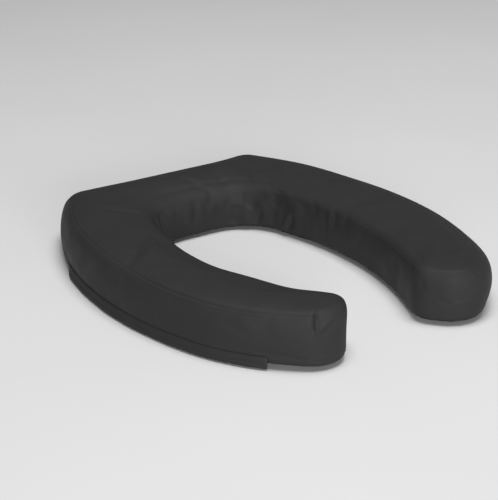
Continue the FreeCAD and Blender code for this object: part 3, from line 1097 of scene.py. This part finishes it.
def seam_lines(body, labels):
    """Ordered points and normals along the border between two labels, one list per line."""
    work = bmesh.new()
    work.from_mesh(body.data)
    pair = {LABELS.index(label) for label in labels}
    links = {}
    for edge in work.edges:
        if len(edge.link_faces) == 2 and {f.material_index for f in edge.link_faces} == pair:
            a, b = edge.verts
            links.setdefault(a, []).append(b)
            links.setdefault(b, []).append(a)
    lines = []
    left = dict.fromkeys(links)
    while left:
        ends = [v for v in left if len(links[v]) == 1]
        start = ends[0] if ends else next(iter(left))
        line = [start]
        del left[start]
        here = start
        while True:
            onward = [v for v in links[here] if v in left]
            if not onward:
                break
            here = onward[0]
            del left[here]
            line.append(here)
        closed = not ends and start in links[here]
        points = np.array([tuple(v.co) for v in line]) / MM
        normals = np.array([tuple(v.normal) for v in line])
        if closed:
            points, normals = np.vstack([points, points[:1]]), np.vstack([normals, normals[:1]])
        lines.append((points, normals))
    work.free()
    return lines


def spaced(points, normals, pitch):
    """Points, normals and directions along the line at an even pitch."""
    runs = np.concatenate([[0], np.cumsum(np.linalg.norm(np.diff(points, axis=0), axis=1))])
    at = np.arange(pitch / 2, runs[-1], pitch)

    def sampled(values, where):
        """The values at other runs."""
        return np.array([np.interp(where, runs, values[:, c]) for c in range(3)]).T

    way = sampled(points, at + WAY_REACH) - sampled(points, at - WAY_REACH)
    return sampled(points, at), unit(sampled(normals, at)), unit(way)


def unit(vectors):
    """The vectors at length 1."""
    return vectors / np.maximum(np.linalg.norm(vectors, axis=-1, keepdims=True), 1e-9)


def stitches(places, normals, ways, length, radius, sunk):
    """Verts and faces of one small rounded stitch at each place."""
    verts, faces = [], []
    for place, normal, way in zip(places, normals, ways):
        across = np.cross(way, normal)
        faces += loft_faces(len(STITCH_RINGS), STITCH_SIDES, len(verts))
        for share, size, rise in STITCH_RINGS:
            centre = place + way * share * length + normal * (rise * radius - sunk)
            for k in range(STITCH_SIDES):
                angle = 2 * math.pi * k / STITCH_SIDES
                spoke = across * math.cos(angle) + normal * math.sin(angle)
                verts.append(centre + spoke * radius * size)
    return verts, faces


def stitch_piece(name, lines, nodes, stitch, sunk=0.0):
    """A sewn line along each of the lines, a stitch being (pitch, length, radius)."""
    pitch, length, radius = stitch
    verts, faces = [], []
    for points, normals in lines:
        more, quads = stitches(*spaced(points, normals, pitch), length, radius, sunk)
        base = len(verts)
        verts += more
        faces += [tuple(base + v for v in quad) for quad in quads]
    obj = mesh_object(name, np.array(verts), faces)
    outward(obj)
    return dressed(obj, "thread", nodes)


def make_seams(body):
    """Stitches along every seam between two panels."""
    for name, node_name, joined in SEAMS:
        lines = [line for labels in joined for line in seam_lines(body, labels)]
        stitch_piece(name, lines, [node_name], SEAM_STITCH, SEAM_SUNK)


def foam_layer(cage, slot, low, high):
    """One layer of the foam core, its shape taken from the cover and moved in."""
    work = bmesh.new()
    work.from_mesh(cage)
    work.normal_update()
    for vert in work.verts:
        vert.co = vert.co - vert.normal * FOAM_INSET * MM
    for z, way in ((low, -1), (high, 1)):
        if z is None:
            continue
        geom = work.verts[:] + work.edges[:] + work.faces[:]
        sliced = bmesh.ops.bisect_plane(
            work, geom=geom, plane_co=(0, 0, z * MM), plane_no=(0, 0, way), clear_outer=True)
        rim = [e for e in sliced["geom_cut"] if isinstance(e, bmesh.types.BMEdge)]
        bmesh.ops.triangle_fill(work, use_beauty=True, edges=rim)
    bmesh.ops.recalc_face_normals(work, faces=work.faces)
    obj = dressed(from_work(f"{slot}_layer_core", work), slot, [f"{slot}_layer"])


def make_cushion():
    """The foam, the cover's four panels and their seams."""
    body = cover_body()
    cage = body.data.copy()
    subdivided(body)
    shaped(body)
    for slot, low, high in FOAM_LAYERS:
        foam_layer(cage, slot, low, high)
    for label in LABELS:
        panel(body, label)
    make_seams(body)
    bpy.data.objects.remove(body)


# ---- flap over the zip

FLAP_RUNS = (213.9, 521.2)
FLAP_LENGTH = FLAP_RUNS[1] - FLAP_RUNS[0]
FLAP_TOP_Z = 12.3
FLAP_LOW_Z = 1.8
FLAP_STEPS = 170
FLAP_ROWS = 14
HEM_SHARE = 0.56
FLAP_SLANT = 8.0             # the rear end's lower corner is cut back by this much
SLIDER_PASSED = (0.72, 0.82)     # past these shares of its length, the flap needs no slider room
FLARE = (1.2, 1.1)           # how far its lower edge stands out, and what the slider's room adds
FLARE_WAVES = ((0.2, 17.0, 0.0), (0.15, 7.3, 1.0))       # its sway: size, run and phase
FLARE_START = (0.25, 0.035)      # the flare's share at the rear end, and how soon it is whole
STAND = (0.18, 0.32)         # off the wall at the seam, and gained just below it
STAND_END = 0.12             # the share of its drop by which the second is gained
HEM_STEP = 0.32              # the doubled hem's extra thickness
HEM_RISE = 0.06              # the share of the drop over which it is gained
HEM_EDGE = 0.93              # below this share of the drop, the hem's edge is rounded off
HEM_DENT = (0.22, 0.01, 0.07)    # its stitches' groove: depth, share above the hem, and reach
HEM_POINTS = 300
HEM_STITCH = (3.0, 2.2, 0.26)
LOW_EDGE_WAVE = (0.12, 11.0)     # how unevenly the lower edge hangs: height and run


def flap_point(share, down):
    """A point of the flap's outer face: share along it from the rear, down it from its seam."""
    run = FLAP_RUNS[0] + share * FLAP_LENGTH + FLAP_SLANT * down * (1 - share)
    point, normal = outline_at(run)
    slider_room = 1 - smooth(*SLIDER_PASSED, share)
    flare = FLARE[0] + FLARE[1] * slider_room
    flare += sum(size * math.sin(run / wave + phase) for size, wave, phase in FLARE_WAVES)
    flare *= FLARE_START[0] + (1 - FLARE_START[0]) * smooth(0.0, FLARE_START[1], share)
    stand = STAND[0] + STAND[1] * smooth(0, STAND_END, down)
    stand += (flare - sum(STAND)) * math.sin(down * math.pi / 2)
    hem_edge = 1 - 0.5 * smooth(HEM_EDGE, 1.0, down)
    stand += HEM_STEP * smooth(HEM_SHARE, HEM_SHARE + HEM_RISE, down) * hem_edge
    depth, above, reach = HEM_DENT
    stand -= depth * bump(down, HEM_SHARE - above, reach)
    height, wave = LOW_EDGE_WAVE
    z = FLAP_TOP_Z + (FLAP_LOW_Z - FLAP_TOP_Z) * down + height * math.sin(run / wave) * down
    x, y = point + normal * float(stand)
    return -x + SHIFT_X, y, z


def make_flap():
    """A hemmed strip sewn into the bottom seam, which hides the zip."""
    verts = [flap_point(i / FLAP_STEPS, j / FLAP_ROWS)
             for i in range(FLAP_STEPS + 1) for j in range(FLAP_ROWS + 1)]
    obj = mesh_object("zip_flap", np.array(verts), grid_faces(FLAP_STEPS, FLAP_ROWS))
    face_out(obj)
    thickened(obj)
    dressed(obj, "fabric", ["zip_guard_flap"])
    line = np.array([flap_point(i / HEM_POINTS, HEM_SHARE) for i in range(2, HEM_POINTS - 1)])
    centre = np.array([SHIFT_X, 0, 0])
    normals = unit((line - centre) * np.array([1, 1, 0]))
    hem = stitch_piece("zip_flap_stitches", [(line, normals)], [], HEM_STITCH)


def face_out(obj):
    """Flips the faces if they look towards the middle of the pad."""
    mesh = obj.data
    middle = mesh.polygons[len(mesh.polygons) // 2]
    away = Vector((middle.center.x, middle.center.y, 0))
    if middle.normal.dot(away) < 0:
        mesh.flip_normals()


# ---- zip

TOOTH_PITCH = 1.3
TOOTH_WIDTH = 0.62
TOOTH_SIDES = 10
TOOTH_RISE = 0.52
TOOTH_MIDDLE = 1.04          # a tooth's middle, off the flat
TOOTH_RINGS = ((-1.0, 0.6), (-0.6, 1.0), (0.6, 1.0), (1.0, 0.6))     # along it, and size
TOOTH_ROUNDING = (0.6, 0.7)      # down and off the flat, squarer below 1
COIL_HALF = 2.0
COIL_OVERLAP = 0.45
COIL_DEG = (-16.16, 15.76)


def on_zip_flat(degrees, down, out):
    """A point by its turn along the zip, and its distance down and off the 45 degree flat."""
    inset = (down - out) / math.sqrt(2)
    z = UNDER_Z + CHAMFER - (down + out) / math.sqrt(2)
    angle = math.radians(degrees)
    radius = SIDE_R - inset
    x = ZIP_CENTRE[0] - radius * math.cos(angle) + SHIFT_X
    y = ZIP_CENTRE[1] - radius * math.sin(angle)
    return x, y, z


def rounded(value, power):
    """A sine or cosine made squarer, with a power below 1."""
    return math.copysign(abs(value) ** power, value)


def tooth_section(low, high):
    """A tooth's rounded outline on the zip's section, as (down, out) points."""
    middle, half = (low + high) / 2, (high - low) / 2
    points = []
    for k in range(TOOTH_SIDES):
        angle = 2 * math.pi * k / TOOTH_SIDES
        down = middle + half * rounded(math.cos(angle), TOOTH_ROUNDING[0])
        points.append((down, TOOTH_MIDDLE + TOOTH_RISE * rounded(math.sin(angle), TOOTH_ROUNDING[1])))
    return points


def make_coil(side, low, high, start):
    """One side of the zip: a row of moulded turns, each a rounded bar."""
    verts, faces = [], []
    outline = tooth_section(low, high)
    step = math.degrees(TOOTH_PITCH / SIDE_R)
    half = math.degrees(TOOTH_WIDTH / 2 / SIDE_R)
    at = COIL_DEG[0] + start * step + half
    middle = np.array(outline).mean(axis=0)
    while at < COIL_DEG[1] - half:
        faces += loft_faces(len(TOOTH_RINGS), TOOTH_SIDES, len(verts))
        for share, size in TOOTH_RINGS:
            for down, out in outline:
                place = middle + (np.array((down, out)) - middle) * size
                verts.append(on_zip_flat(at + half * share, place[0], place[1]))
        at += step
    obj = mesh_object(f"zip_coil_teeth_{side}", np.array(verts), faces)
    outward(obj)
    dressed(obj, "coil", [f"zip_coil_{side}"])


def make_zip():
    """Both rows of teeth, half a pitch apart."""
    make_coil("upper", COIL_S - COIL_HALF, COIL_S + COIL_OVERLAP, 0.0)
    make_coil("lower", COIL_S - COIL_OVERLAP, COIL_S + COIL_HALF, 0.5)


# ---- straps

STRAP_HALF = 19.0
STRAP_REACH = (9.4, 77.0)
STRAP_THICK = 1.3
STRAP_TIP = 5.0
ROOT_REACH = (9.0, 23.0)
RIB_PITCH = 1.9
RIB_HEIGHT = 0.16
KNIT_PITCH = 2.3
RIB_SHARE = 0.8              # of the ribs' height
KNIT_SHARE = 0.25
TIP_CROWDING = 1.15          # above 1, a web's cells are finer towards its tip
WEB_CELLS = (60, 80)         # along a strap and across it
WEB_FACES = ((0.1, -1), (STRAP_THICK - 0.12, 1))     # height of the under and upper face, and way
ROOT_ACROSS = 40
ROOT_SIDES = 16
ROOT_Z = 2.3
ROOT_HALF_THICK = 0.85
ROOT_RIB = 0.06
ROOT_ROUNDING = (0.35, 0.5)      # along the strap and in height, squarer below 1
ROOT_MARGIN = 0.3
BOX_MARGIN = (2.5, 3.0)      # the sewn box from the root's ends and sides
BOX_Z = 0.12
BOX_STEPS = 30
BOX_STITCH = (2.6, 1.9, 0.24)


def on_strap(end, side, reach, across, z):
    """A point of a strap: reach outwards from the opening's side arc, across it, and height."""
    angle = math.radians(STRAPS[end])
    x, y = OPENING_R + reach, across
    turned_x = x * math.cos(angle) - y * math.sin(angle)
    turned_y = x * math.sin(angle) + y * math.cos(angle)
    sign = 1 if side == "right" else -1
    return (OPENING_CENTRE[0] + turned_x) * sign + SHIFT_X, OPENING_CENTRE[1] + turned_y, z


def strap_half_width(reach):
    """Half the strap's width, its end's corners rounded."""
    past = reach - (STRAP_REACH[1] - STRAP_TIP)
    if past <= 0:
        return STRAP_HALF
    return STRAP_HALF - STRAP_TIP + math.sqrt(max(0.0, STRAP_TIP ** 2 - past ** 2))


def make_web(end, side):
    """Ribbed elastic webbing, sewn down at its root."""
    along, across = WEB_CELLS
    verts = []
    for z_base, way in WEB_FACES:
        for i in range(along + 1):
            share = i / along
            run = 1 - (1 - share) ** TIP_CROWDING
            reach = STRAP_REACH[0] + (STRAP_REACH[1] - STRAP_REACH[0]) * run
            half = strap_half_width(reach)
            for j in range(across + 1):
                v = (2 * j / across - 1) * half
                rib = 0.5 + 0.5 * math.cos(2 * math.pi * v / RIB_PITCH)
                phase = math.pi * round(v / RIB_PITCH)
                knit = KNIT_SHARE * math.sin(2 * math.pi * reach / KNIT_PITCH + phase)
                edge = 1 - smooth(0.97, 1.0, abs(v) / half)
                z = z_base + way * RIB_HEIGHT * (rib * RIB_SHARE + knit * rib) * edge
                verts.append(on_strap(end, side, reach, v, float(z)))
    layer = (along + 1) * (across + 1)
    width = across + 1
    faces = []
    for a, b, c, d in grid_faces(along, across):
        faces += [(a, b, c, d), (layer + a, layer + d, layer + c, layer + b)]
    rim = ([(i * width, (i + 1) * width) for i in range(along)]
           + [(along * width + j, along * width + j + 1) for j in range(across)]
           + [((i + 1) * width + across, i * width + across) for i in range(along)]
           + [(j + 1, j) for j in range(across)])
    faces += [(a, b, layer + b, layer + a) for a, b in rim]
    obj = mesh_object(f"strap_elastic_{end}_{side}", np.array(verts), faces)
    outward(obj)
    obj.data.materials.append(MATERIALS["elastic"])
    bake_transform(obj)
    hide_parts(f"strap_web_{end}_{side}")


def make_root(end, side):
    """The webbing's turned-back end, a second layer between the strap and the cover."""
    verts = []
    low, high = ROOT_REACH
    for j in range(ROOT_ACROSS + 1):
        v = (2 * j / ROOT_ACROSS - 1) * (STRAP_HALF - ROOT_MARGIN)
        rib = ROOT_RIB * math.cos(2 * math.pi * v / RIB_PITCH)
        for k in range(ROOT_SIDES):
            angle = 2 * math.pi * k / ROOT_SIDES
            reach = (low + high) / 2 + (high - low) / 2 * rounded(math.cos(angle), ROOT_ROUNDING[0])
            z = ROOT_Z + ROOT_HALF_THICK * rounded(math.sin(angle), ROOT_ROUNDING[1])
            verts.append(on_strap(end, side, reach, v, z + rib * math.sin(angle)))
    obj = mesh_object(f"strap_root_fold_{end}_{side}", np.array(verts),
                      loft_faces(ROOT_ACROSS + 1, ROOT_SIDES))
    outward(obj)
    dressed(obj, "elastic", [f"strap_root_{end}_{side}"])


def box_stitch(end, side):
    """The sewn rectangle with its cross that holds the strap's root down."""
    low, high = ROOT_REACH[0] + BOX_MARGIN[0], ROOT_REACH[1] - BOX_MARGIN[0]
    half = STRAP_HALF - BOX_MARGIN[1]
    corners = np.array([(low, -half), (high, -half), (high, half), (low, half)])
    lines = []
    for a, b in ((0, 1), (1, 2), (2, 3), (3, 0), (0, 2), (1, 3)):
        row = [corners[a] + (corners[b] - corners[a]) * k / (BOX_STEPS - 1) for k in range(BOX_STEPS)]
        line = np.array([on_strap(end, side, reach, across, BOX_Z) for reach, across in row])
        lines.append((line, np.tile([0.0, 0.0, -1.0], (BOX_STEPS, 1))))
    stitch_piece(f"strap_root_stitches_{end}_{side}", lines, [], BOX_STITCH)


def make_straps():
    """Each strap's web, its turned-back root and the stitches that hold it."""
    for end in STRAPS:
        for side in ("left", "right"):
            make_web(end, side)
            make_root(end, side)
            box_stitch(end, side)


# ---- light, floor and camera

CAMERA_PLACE = (-775.5, -1119.9, 558.6)
CAMERA_AIM = (-16.6, 3.4, 27.0)
CAMERA_ROLL = math.radians(-0.8)
LENS = 108.4
SENSOR = 36.0
# Each light's place, aim and size in metres, and its power.
LIGHTS = {
    "overhead": ((0.0, -0.5, 3.4), (0, 0, 0), (2.0, 2.0), 100),
    "low": ((-1.15, -2.8, 0.7), (0, 0, 0.02), (1.5, 0.7), 62),
}
WORLD_STRENGTH = 0.12
FLOOR_HALF = 4000


def make_camera():
    """The camera, ahead of the arms, to their left and above."""
    place = Vector(CAMERA_PLACE) * MM
    ahead = (Vector(CAMERA_AIM) * MM - place).normalized()
    across = ahead.cross(Vector((0, 0, 1))).normalized()
    above = across.cross(ahead)
    data = bpy.data.cameras.new("camera")
    data.sensor_width = SENSOR
    data.lens = LENS
    camera = linked("camera", data)
    level = Matrix((across, above, -ahead)).transposed().to_4x4()
    camera.matrix_world = Matrix.Translation(place) @ level @ Matrix.Rotation(CAMERA_ROLL, 4, "Z")
    bpy.context.scene.camera = camera


def area_light(name, place, aim, size, power):
    """A soft rectangular light turned to its aim."""
    data = bpy.data.lights.new(name, "AREA")
    data.shape = "RECTANGLE"
    data.size, data.size_y = size
    data.energy = power
    light = linked(name, data)
    light.location = place
    light.rotation_euler = (Vector(aim) - Vector(place)).to_track_quat("-Z", "Y").to_euler()


def make_studio():
    """A dim white room, two soft lights and a pale floor."""
    world = bpy.data.worlds.new("studio")
    world.use_nodes = True
    background = world.node_tree.nodes["Background"]
    background.inputs["Color"].default_value = (1, 1, 1, 1)
    background.inputs["Strength"].default_value = WORLD_STRENGTH
    bpy.context.scene.world = world
    for name, (place, aim, size, power) in LIGHTS.items():
        area_light(name, place, aim, size, power)
    bpy.context.scene.view_settings.view_transform = "Standard"
    corners = [(x * FLOOR_HALF, y * FLOOR_HALF, 0) for x, y in ((-1, -1), (1, -1), (1, 1), (-1, 1))]
    floor = mesh_object("floor", corners, [(0, 1, 2, 3)])
    floor.data.materials.append(pale_floor())


make_camera()
make_studio()
make_cushion()
make_flap()
make_zip()
make_straps()
dress_cad_nodes()
